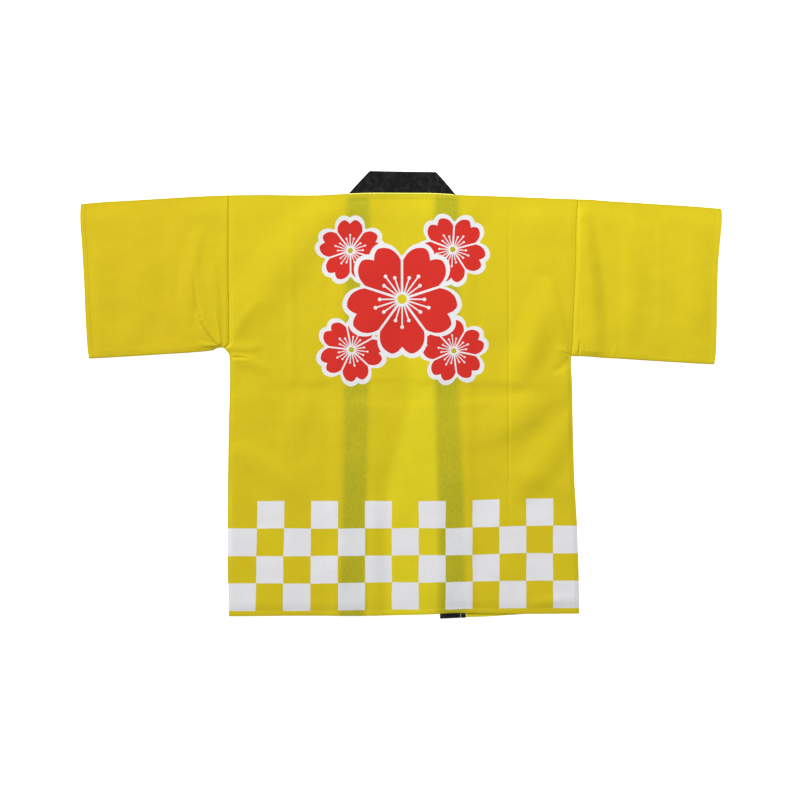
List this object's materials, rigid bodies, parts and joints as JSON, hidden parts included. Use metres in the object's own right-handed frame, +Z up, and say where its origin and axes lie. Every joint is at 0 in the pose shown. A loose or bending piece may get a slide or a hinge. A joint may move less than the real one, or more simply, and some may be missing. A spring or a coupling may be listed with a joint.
{
  "type": "happi coat",
  "caption": "Adult happi coat of thin cotton laid flat with its back up: straight back and fronts, wide square sleeves and a doubled collar band folded at the neck.",
  "frame": {"origin": "on the surface it lies on, under the middle of its bounding box", "axes": "+Z up from the surface, out of the coat's back; +Y towards the neck; +X towards the right sleeve as seen from above"},
  "size_m": [1.1917, 0.8302, 0.0067],
  "materials": {
    "body_cotton": "thin plain-weave cotton, yellow with a printed check border, matt",
    "sleeve_cotton": "thin plain-weave cotton, plain yellow, matt",
    "collar_cotton": "doubled plain-weave cotton, black, matt"
  },
  "bodies": {
    "root": {"back_panel": "body_cotton", "front_left": "body_cotton", "front_right": "body_cotton", "sleeve_left": "sleeve_cotton", "sleeve_right": "sleeve_cotton", "collar": "collar_cotton"}
  },
  "joints": []
}
